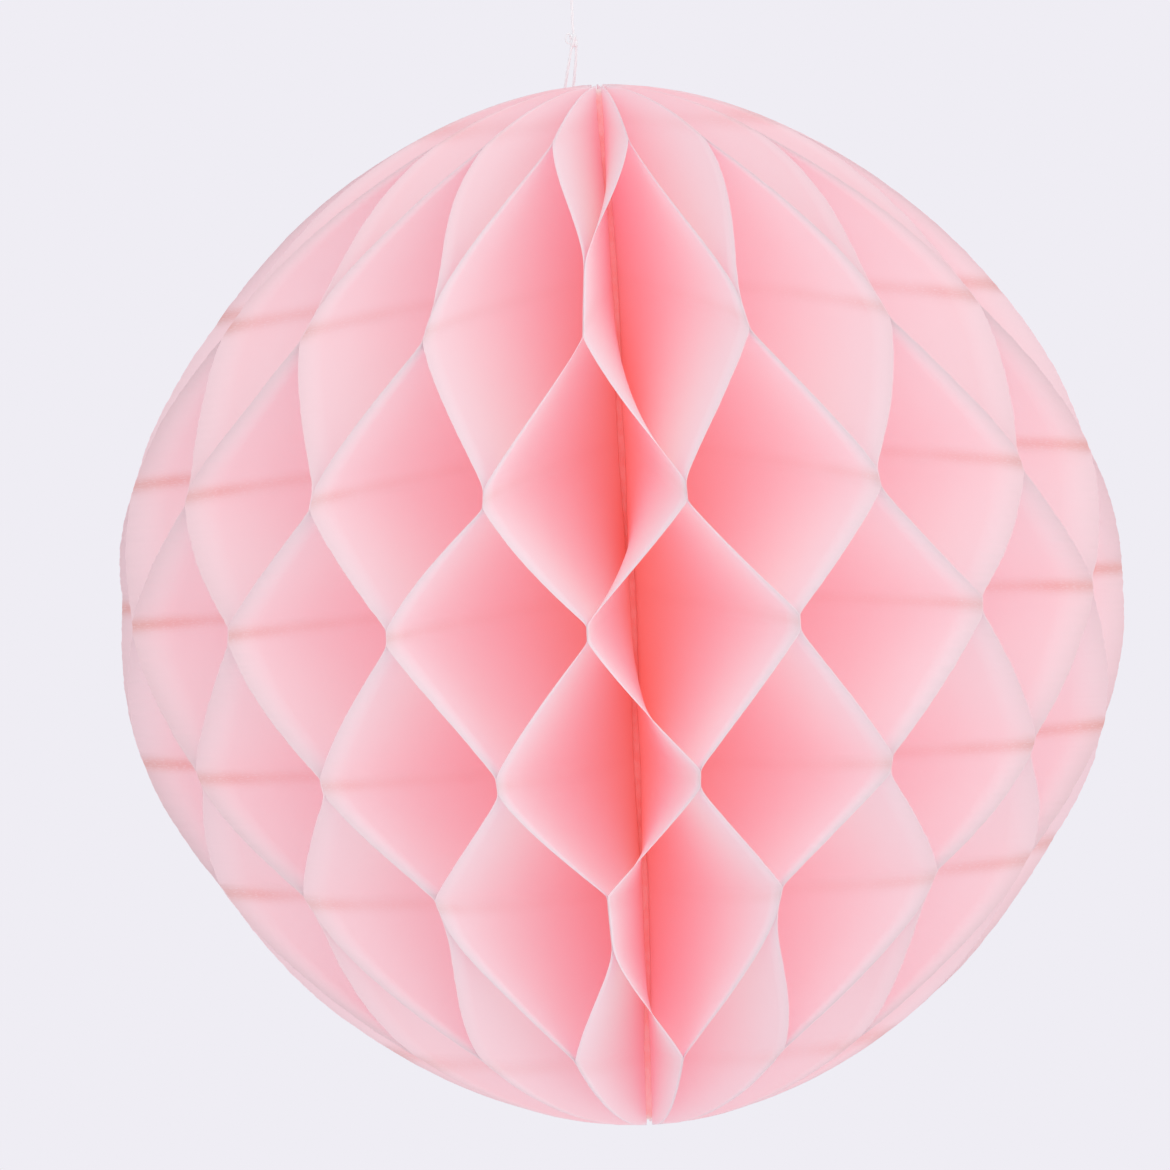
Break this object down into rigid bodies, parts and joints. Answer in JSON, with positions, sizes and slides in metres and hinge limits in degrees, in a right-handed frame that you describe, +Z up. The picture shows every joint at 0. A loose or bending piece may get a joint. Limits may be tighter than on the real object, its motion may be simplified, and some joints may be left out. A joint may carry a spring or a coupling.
{
  "type": "honeycomb paper ball",
  "caption": "Round honeycomb decoration of pale pink tissue leaves fanned round a spine and glued into open cells, hung on a thin white thread with a loop.",
  "frame": {"origin": "the ball's centre: on the spine's axis, halfway between the leaves' two ends", "axes": "+Z up along the spine towards the hanging thread, -Y towards the front as pictured, +X to the right seen from the front"},
  "size_m": [0.1915, 0.1922, 0.2435],
  "materials": {
    "tissue": "matt thin tissue, lets light through",
    "cover_card": "matt card",
    "dried_glue": "satin dried glue",
    "thread": "matt cotton"
  },
  "bodies": {
    "root": {"leaf_01": "tissue", "leaf_02": "tissue", "leaf_03": "tissue", "leaf_04": "tissue", "leaf_05": "tissue", "leaf_06": "tissue", "leaf_07": "tissue", "leaf_08": "tissue", "leaf_09": "tissue", "leaf_10": "tissue", "leaf_11": "tissue", "leaf_12": "tissue", "leaf_13": "tissue", "leaf_14": "tissue", "leaf_15": "tissue", "leaf_16": "tissue", "leaf_17": "tissue", "leaf_18": "tissue", "leaf_19": "tissue", "leaf_20": "tissue", "leaf_21": "tissue", "leaf_22": "tissue", "leaf_23": "tissue", "leaf_24": "tissue", "leaf_25": "tissue", "leaf_26": "tissue", "leaf_27": "tissue", "leaf_28": "tissue", "leaf_29": "tissue", "leaf_30": "tissue", "spine_binding": "dried_glue", "cover_first": "cover_card", "cover_last": "cover_card", "pad_upper": "dried_glue", "pad_lower": "dried_glue", "thread_tie": "thread", "tie_knot": "thread", "thread_strand": "thread", "end_knot": "thread", "thread_loop": "thread"}
  },
  "joints": []
}
